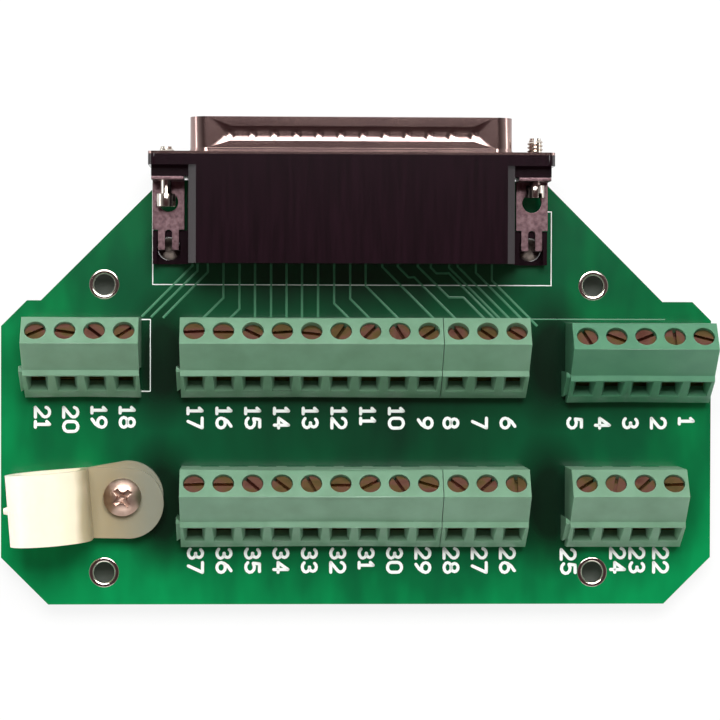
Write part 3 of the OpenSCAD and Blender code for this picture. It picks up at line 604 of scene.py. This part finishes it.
def joined(name, pieces, finish, body="board"):
    deselect()
    for piece in pieces:
        piece.select_set(True)
    bpy.context.view_layer.objects.active = pieces[0]
    bpy.ops.object.join()
    whole = bpy.context.object
    whole.name = name
    bpy.ops.object.transform_apply(location=True, rotation=True, scale=True)
    whole.data.materials.clear()
    whole.data.materials.append(finish)
    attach(whole, body)
    return whole

# %% [markdown]
# The top layer's traces run from the plug's pins to terminals 1 to 21. Their
# bends are at 45 degrees, as board layout programs draw them.

# %% Copper traces
TRACES = [
    [(-27.4, 31), (-27.4, 28.4), (-36.2, 19.5)], [(-26.5, 31), (-26.5, 27.5), (-34.6, 19.4)],
    [(-24.7, 31), (-24.7, 27.3), (-32.5, 19.3)], [(-22, 31), (-22, 22.8), (-26.6, 18.2)],
    [(-19.2, 31), (-19.2, 20.9), (-21.9, 18.2)], [(-16.5, 31), (-16.5, 18)],
    [(-13.7, 31), (-13.7, 18)], [(-11, 31), (-11, 18)], [(-8.3, 31), (-8.3, 18)],
    [(-5.5, 31), (-5.5, 18)], [(-2.7, 31), (-2.7, 21.9), (1.1, 18.1)],
    [(0.1, 31), (0.1, 22.7), (4.8, 18)], [(2.8, 31), (2.8, 25), (9.8, 18)],
    [(5.7, 31), (5.7, 28.3), (16, 18)],
    [(8.4, 31), (8.4, 28.4), (10.3, 26.5), (11.3, 26.5), (19.8, 18)],
    [(11.9, 31), (11.9, 28.4), (17.4, 23), (19.9, 23), (24.9, 18)],
    [(14.2, 31), (14.2, 28.2), (15.2, 27.2), (17.4, 27.2), (26.6, 18)],
    [(17.4, 31), (17.4, 28.2), (27.6, 18)], [(18.9, 31), (18.9, 28.4), (29.3, 18)],
    [(22.1, 31), (22.1, 27.3), (31.4, 18)], [(24.9, 31), (24.9, 26), (32.9, 18)]]
TRACE_MM = 0.42
TRACE_HIGH_MM = 0.04
traces = joined("copper_traces", [
    drawn_line("trace", points, TRACE_MM, TRACE_HIGH_MM, TOP) for points in TRACES], trace_green)
print("traces:", len(TRACES), "faces:", len(traces.data.polygons))

# %% [markdown]
# The print's long lines mark where the plug and the blocks go. One line beside the
# right block lies under the mask, so it is green and fainter.

# %% Printed outlines
PRINTED = [
    [(-34.3, 43), (-34.3, 25.1), (35.3, 25.1), (35.3, 38), (34.5, 38)],
    [(-36.3, 19), (-34.7, 19), (-34.7, 6.5), (-36.3, 6.5)],
    [(56.9, -6.9), (58.2, -6.9), (58.2, -8.4)]]
UNDER_MASK = [(31.4, 19.2), (55.4, 19.2)]
outlines = joined("printed_outlines", [
    drawn_line("outline", points, 0.22, 0.03, TOP) for points in PRINTED], print_white)
faint = joined("faint_outline", [drawn_line("outline", UNDER_MASK, 0.2, 0.02, TOP)], trace_green)
print("outline faces:", len(outlines.data.polygons), "and", len(faint.data.polygons))

# %% [markdown]
# ## Printed numbers
#
# The numbers are plotted with one round pen, so every digit is a few strokes. A
# digit is planned once in a box one unit high, with a new stroke at each sharp
# corner, and each stroke gets round ends. The numbers read downwards, with their
# tops to the right.

# %% Strokes of the ten digits
def bow(x, y, across, up, start, end, steps=8):
    """Points along an arc about x, y, between two angles in degrees."""
    turns = [math.radians(start + (end - start) * i / steps) for i in range(steps + 1)]
    return [(x + across * math.cos(t), y + up * math.sin(t)) for t in turns]


def turned_over(strokes):
    return [[(WIDE - x, 1 - y) for x, y in stroke] for stroke in strokes]


WIDE = 0.7
SIX = [bow(0.35, 0.3, 0.35, 0.3, 150, 510, 12) + [(0.05, 0.5), (0.24, 0.76), (0.58, 1)]]
DIGITS = {
    "0": [bow(0.35, 0.7, 0.35, 0.3, 0, 180) + bow(0.35, 0.3, 0.35, 0.3, 180, 360) + [(WIDE, 0.7)]],
    "1": [[(0, 0.8), (0.2, 1)], [(0.2, 1), (0.2, 0)], [(0, 0), (0.4, 0)]],
    "2": [bow(0.34, 0.7, 0.34, 0.3, 170, -35) + [(0.0, 0.0)], [(0.0, 0.0), (WIDE, 0.0)]],
    "3": [bow(0.33, 0.75, 0.3, 0.25, 150, -90), bow(0.33, 0.26, 0.35, 0.26, 90, -150)],
    "4": [[(0.5, 0), (0.5, 1)], [(0.5, 1), (0, 0.3)], [(0, 0.3), (WIDE, 0.3)]],
    "5": [[(0.64, 1), (0.1, 1)], [(0.1, 1), (0.05, 0.56)],
          bow(0.33, 0.33, 0.37, 0.31, 130, -150)],
    "6": SIX,
    "7": [[(0, 1), (WIDE, 1)], [(WIDE, 1), (0.24, 0)]],
    "8": [bow(0.35, 0.75, 0.29, 0.25, -90, 270, 12), bow(0.35, 0.26, 0.35, 0.26, 90, 450, 12)],
    "9": turned_over(SIX)}
print("points in all strokes:", sum(len(s) for strokes in DIGITS.values() for s in strokes))

# %% Set a number
PEN_MM = 0.55
INK_MM = 0.03
DIGIT_MM = 2.46
GAP_MM = 0.2


def pen_dot(point):
    """The round end that a pen leaves, as flat as the line."""
    deselect()
    bpy.ops.mesh.primitive_uv_sphere_add(
        segments=12, ring_count=6, radius=PEN_MM / 2 * MM,
        location=(point[0] * MM, point[1] * MM, TOP))
    dot = bpy.context.object
    bpy.ops.transform.resize(value=(1, 1, 2 * INK_MM / PEN_MM), center_override=dot.location)
    bpy.ops.object.shade_smooth()
    return dot


def digit_width(digit):
    return max(x for stroke in DIGITS[digit] for x, y in stroke) * DIGIT_MM


def set_number(text, x_mm, y_mm, turn):
    """Strokes of a number whose first digit starts at the given place."""
    along = 0.0
    made_lines = []
    for digit in text:
        for stroke in DIGITS[digit]:
            points = []
            for x, y in stroke:
                across, up = along + x * DIGIT_MM, y * DIGIT_MM
                points.append((x_mm + across * math.cos(turn) - up * math.sin(turn),
                               y_mm + across * math.sin(turn) + up * math.cos(turn)))
            made_lines.append(drawn_line("stroke", points, PEN_MM, INK_MM, TOP))
            made_lines += [pen_dot(points[0]), pen_dot(points[-1])]
        along += digit_width(digit) + PEN_MM + GAP_MM
    return made_lines


print("digits", DIGIT_MM, "mm high, drawn with a pen of", PEN_MM, "mm")

# %% [markdown]
# Each row of numbers has its first number, how many follow downwards, where it
# starts, the step between numbers and the height of their tops.

# %% Print the terminal numbers
DOWNWARDS = math.radians(-90)
NUMBER_ROWS = [
    (21, 4, -53.4, 4.9, 3.95), (17, 8, -26.9, 5.02, 3.85), (9, 1, 13.3, 5.0, 2.15),
    (8, 3, 17.8, 5.0, 2.15), (5, 5, 39.5, 4.93, 2.15), (37, 9, -26.8, 4.97, -20.7),
    (28, 3, 17.9, 4.95, -20.7), (25, 1, 38.5, 5, -20.9), (24, 1, 47.2, 5, -20.7),
    (23, 2, 50.6, 4.2, -20.7)]
strokes = []
for first, count, x, step, top in NUMBER_ROWS:
    for i in range(count):
        strokes += set_number(
            str(first - i), x + i * step - DIGIT_MM / 2, top - PEN_MM / 2, DOWNWARDS)
print("strokes and round ends:", len(strokes))
numbers = joined("terminal_numbers", strokes, print_white)
print("faces of the numbers:", len(numbers.data.polygons))

# %% [markdown]
# ## Plated rims and solder
#
# Each mounting hole has a tinned rim on both faces, and a tinned wall between
# them. A circle is extruded inwards over the upper face, down the wall and outwards
# over the lower one.

# %% Hole rims
RIM_MM = 2.6
WALL_MM = 1.8
FILM_MM = 0.05
CORNER_MM = 0.12


def pull_edge(rise_mm, factor, x, y):
    bpy.ops.mesh.extrude_edges_move(TRANSFORM_OT_translate={"value": (0, 0, rise_mm * MM)})
    bpy.ops.transform.resize(value=(factor, factor, 1), center_override=(x * MM, y * MM, 0))


def rim(x, y):
    deselect()
    bpy.ops.mesh.primitive_circle_add(
        vertices=48, radius=RIM_MM * MM, location=(x * MM, y * MM, TOP))
    ring = bpy.context.object
    bpy.ops.object.mode_set(mode="EDIT")
    bpy.ops.mesh.select_all(action="SELECT")
    board_mm = (TOP - UNDER) / MM
    lip = RIM_MM * 0.97
    inner = WALL_MM + 0.14
    for rise, to, was in (
            (FILM_MM, lip, RIM_MM), (0, inner, lip), (-FILM_MM - CORNER_MM, WALL_MM, inner),
            (-board_mm + 2 * CORNER_MM, WALL_MM, WALL_MM), (-CORNER_MM - FILM_MM, inner, WALL_MM),
            (0, lip, inner), (FILM_MM, RIM_MM, lip)):
        pull_edge(rise, to / was, x, y)
    bpy.ops.mesh.select_all(action="SELECT")
    bpy.ops.mesh.normals_make_consistent(inside=False)
    bpy.ops.object.mode_set(mode="OBJECT")
    bpy.ops.object.shade_smooth_by_angle(angle=math.radians(60))
    return ring


rims = joined("plated_hole_rims", [rim(x, y) for x, y in HOLES], nickel)
print("rims:", len(HOLES), "faces:", len(rims.data.polygons))

# %% [markdown]
# Every pin passes through a plated hole, and molten solder climbs up the pin below
# the board and sets as a small hollow cone. One is pulled out of a circle in five
# steps, and the others are copies. A row of terminals is given by its left end, its
# number of ways and its back edge.

# %% Where the pins come out
PITCH = 5.0
CONTACT_PITCH = 2.77
PIN_FROM_BACK = 5.2
PLUG_PIN_ROWS = [(19, 31.2), (18, 34.04)]
BLOCK_STARTS = [(-56.2, 4, 19.4), (-29.3, 12, 19.4), (37.8, 5, 18.6),
                (-29.3, 12, -6.55), (37.8, 4, -6.55)]
TERMINAL_PINS = [(left + (i + 0.5) * PITCH, back - PIN_FROM_BACK)
                 for left, count, back in BLOCK_STARTS for i in range(count)]
PLUG_PINS = [((i - (count - 1) / 2) * CONTACT_PITCH, y)
             for count, y in PLUG_PIN_ROWS for i in range(count)]
print("pins:", len(TERMINAL_PINS), len(PLUG_PINS))

# %% Solder joints
def solder_joint(radius_mm):
    deselect()
    bpy.ops.mesh.primitive_circle_add(vertices=16, radius=radius_mm * MM, location=(0, 0, UNDER))
    cone = bpy.context.object
    bpy.ops.object.mode_set(mode="EDIT")
    bpy.ops.mesh.select_all(action="SELECT")
    for drop, factor in ((0.06, 0.96), (0.16, 0.8), (0.3, 0.78), (0.45, 0.86), (0.15, 0.5)):
        pull_edge(-drop, factor, 0, 0)
    bpy.ops.mesh.select_all(action="SELECT")
    bpy.ops.mesh.normals_make_consistent(inside=False)
    bpy.ops.object.mode_set(mode="OBJECT")
    bpy.ops.object.shade_smooth()
    return cone


def copies(piece, places):
    made_copies = [piece]
    piece.location.xy = Vector(places[0]) * MM
    for place in places[1:]:
        only(piece)
        bpy.ops.object.duplicate()
        bpy.context.object.location.xy = Vector(place) * MM
        made_copies.append(bpy.context.object)
    return made_copies


joints = copies(solder_joint(1.15), TERMINAL_PINS) + copies(solder_joint(0.95), PLUG_PINS)
solder_joints = joined("solder_joints", joints, solder)
print("solder joints:", len(TERMINAL_PINS) + len(PLUG_PINS),
      "faces:", len(solder_joints.data.polygons))

# %% [markdown]
# The two board locks are soldered too. Their holes are wide, so the solder sinks
# to a shallow dish above and hangs in a round drop below. A disc is pulled up
# ring by ring. The solder is real, and its dark grey is painted shade for the
# dark hole round the prongs.

# %% Solder of the board locks
LOCK_AT = 31.4, 31.3
LOCK_RINGS = [(0.9, -0.6), (1.6, -0.45), (1.95, -0.05), (1.95, 1.2), (1.5, 0.95), (0.6, 0.85)]


def lathed(x, y, rings, vertices):
    """A closed round solid from rings of radius and height over the underside."""
    deselect()
    radius, height_mm = rings[0]
    bpy.ops.mesh.primitive_circle_add(
        vertices=vertices, radius=radius * MM, fill_type="NGON",
        location=(x * MM, y * MM, UNDER + height_mm * MM))
    solid = bpy.context.object
    bpy.ops.object.mode_set(mode="EDIT")
    bpy.ops.mesh.select_all(action="SELECT")
    for wider, higher in rings[1:]:
        bpy.ops.mesh.extrude_region_move(
            TRANSFORM_OT_translate={"value": (0, 0, (higher - height_mm) * MM)})
        bpy.ops.transform.resize(
            value=(wider / radius, wider / radius, 1), center_override=(x * MM, y * MM, 0))
        radius, height_mm = wider, higher
    bpy.ops.mesh.select_all(action="SELECT")
    bpy.ops.mesh.normals_make_consistent(inside=False)
    bpy.ops.object.mode_set(mode="OBJECT")
    bpy.ops.object.shade_smooth_by_angle(angle=math.radians(50))
    return solid


lock_solder = joined("board_lock_solder", [
    lathed(x, LOCK_AT[1], LOCK_RINGS, 32) for x in (-LOCK_AT[0], LOCK_AT[0])], solder_painted_dark)
print("board lock faces:", len(lock_solder.data.polygons))

# %% [markdown]
# The underside carries the traces to terminals 22 to 37. The twelve of the long row
# pass between the pins of the row behind it, and the other four run in lanes to the
# right.

# %% Traces of the underside
UPPER_WAYS = 21
LOWER_WAYS = 16
LONG_ROW = 12
REAR_PIN_Y = 34
PASS_MM = 14
BEND_Y, BEND_STEP = 29.5, 0.35
HIGHEST_BEND = 3
LANE_Y, LANE_X, LANE_STEP = 26, 30.8, 0.9


def under_trace(i):
    pin_x = (i - (len(PLUG_PINS) // 2 - 1) / 2) * CONTACT_PITCH
    x, y = TERMINAL_PINS[UPPER_WAYS + i]
    if i < LONG_ROW:
        past = x - PITCH / 2
        turn_y = BEND_Y - abs(i - HIGHEST_BEND) * BEND_STEP
        return [(pin_x, REAR_PIN_Y), (pin_x, turn_y), (past, turn_y - abs(past - pin_x)),
                (past, y + PASS_MM), (x, y + PASS_MM - PITCH / 2), (x, y)]
    level = LANE_Y + (i - LONG_ROW) * LANE_STEP
    lane = LANE_X + (i - LONG_ROW) * LANE_STEP
    return [(pin_x, REAR_PIN_Y), (pin_x, level + 0.8), (pin_x + 0.8, level), (lane - 0.8, level),
            (lane, level - 0.8), (lane, y + (x - lane) + 2), (x, y + 2), (x, y)]


under_traces = joined("copper_traces_below", [
    drawn_line("trace", under_trace(i), TRACE_MM, TRACE_HIGH_MM, UNDER)
    for i in range(LOWER_WAYS)], trace_green)
print("traces below:", LOWER_WAYS, "faces:", len(under_traces.data.polygons))

# %% [markdown]
# ## Screw threads
#
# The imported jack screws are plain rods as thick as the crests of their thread. On
# the rounded copies the threaded part is drawn in to the thread's root, and a
# ridge is wound round it: one small triangle is turned about the axis by a screw
# modifier. It is the thread of D-sub jack screws, 40 turns to the inch.

# %% Wind a thread
SUNK_MM = 0.1
TRIANGLE_WIDE = 1.74
TRIANGLE_HIGH = 1.5


def wound_thread(name, crest_mm, root_mm, pitch_mm, turns, steps=20):
    """A ridge wound up the Z axis, with its foot sunk into the rod."""
    deselect()
    bpy.ops.mesh.primitive_circle_add(vertices=3, radius=MM)
    ridge = bpy.context.object
    ridge.name = name
    bpy.ops.object.mode_set(mode="EDIT")
    bpy.ops.mesh.select_all(action="SELECT")
    bpy.ops.transform.translate(value=(0, 0.5 * MM, 0))
    bpy.ops.transform.resize(
        value=(pitch_mm / TRIANGLE_WIDE, (crest_mm - root_mm + SUNK_MM) / TRIANGLE_HIGH, 1),
        center_override=(0, 0, 0))
    bpy.ops.transform.translate(value=(0, (root_mm - SUNK_MM) * MM, 0))
    bpy.ops.object.mode_set(mode="OBJECT")
    ridge.rotation_euler = (0, math.radians(-90), 0)
    bpy.ops.object.transform_apply(location=False, rotation=True, scale=False)
    bpy.ops.object.modifier_add(type="SCREW")
    wind = ridge.modifiers[-1]
    wind.axis = "Z"
    wind.screw_offset = pitch_mm * MM
    wind.iterations = turns
    wind.steps = steps
    wind.render_steps = steps
    wind.use_merge_vertices = True
    bpy.ops.object.modifier_apply(modifier=wind.name)
    bpy.ops.object.mode_set(mode="EDIT")
    bpy.ops.mesh.select_all(action="SELECT")
    bpy.ops.mesh.normals_make_consistent(inside=False)
    bpy.ops.object.mode_set(mode="OBJECT")
    bpy.ops.object.shade_smooth_by_angle(angle=math.radians(30))
    return ridge


# %% Thread the jack screws
JACK_X = 31.75
JACK_Z = 7.9
CREST_MM = 1.4
ROOT_MM = 1.12
THREAD_PITCH_MM = 0.635
THREAD_MM = 4.6
TURNS = 6
RUN_IN_MM = 0.3
OUTER_MM = 1.2
for side, x, tip in (("left", -JACK_X, 48.7), ("right", JACK_X, 50.4)):
    rod = made["jackscrew_" + side]
    only(rod)
    middle = Vector((x, 0, JACK_Z)) * MM
    for vertex in rod.data.vertices:
        away = vertex.co - middle
        threaded = vertex.co.y > (tip - THREAD_MM) * MM
        vertex.select = threaded and math.hypot(away.x, away.z) > OUTER_MM * MM
    bpy.ops.object.mode_set(mode="EDIT")
    bpy.ops.transform.resize(
        value=(ROOT_MM / CREST_MM, 1, ROOT_MM / CREST_MM), center_override=middle)
    bpy.ops.object.mode_set(mode="OBJECT")
    ridge = wound_thread("jack_thread_" + side, CREST_MM, ROOT_MM, THREAD_PITCH_MM, TURNS)
    ridge.rotation_euler = (math.radians(-90), 0, 0)
    ridge.location = Vector((x, tip - THREAD_MM + RUN_IN_MM, JACK_Z)) * MM
    bpy.ops.object.transform_apply(location=True, rotation=True, scale=True)
    ridge.data.materials.append(nickel)
    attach(ridge, BODY_OF["jackscrew_" + side])
    print(side, "thread faces:", len(ridge.data.polygons))
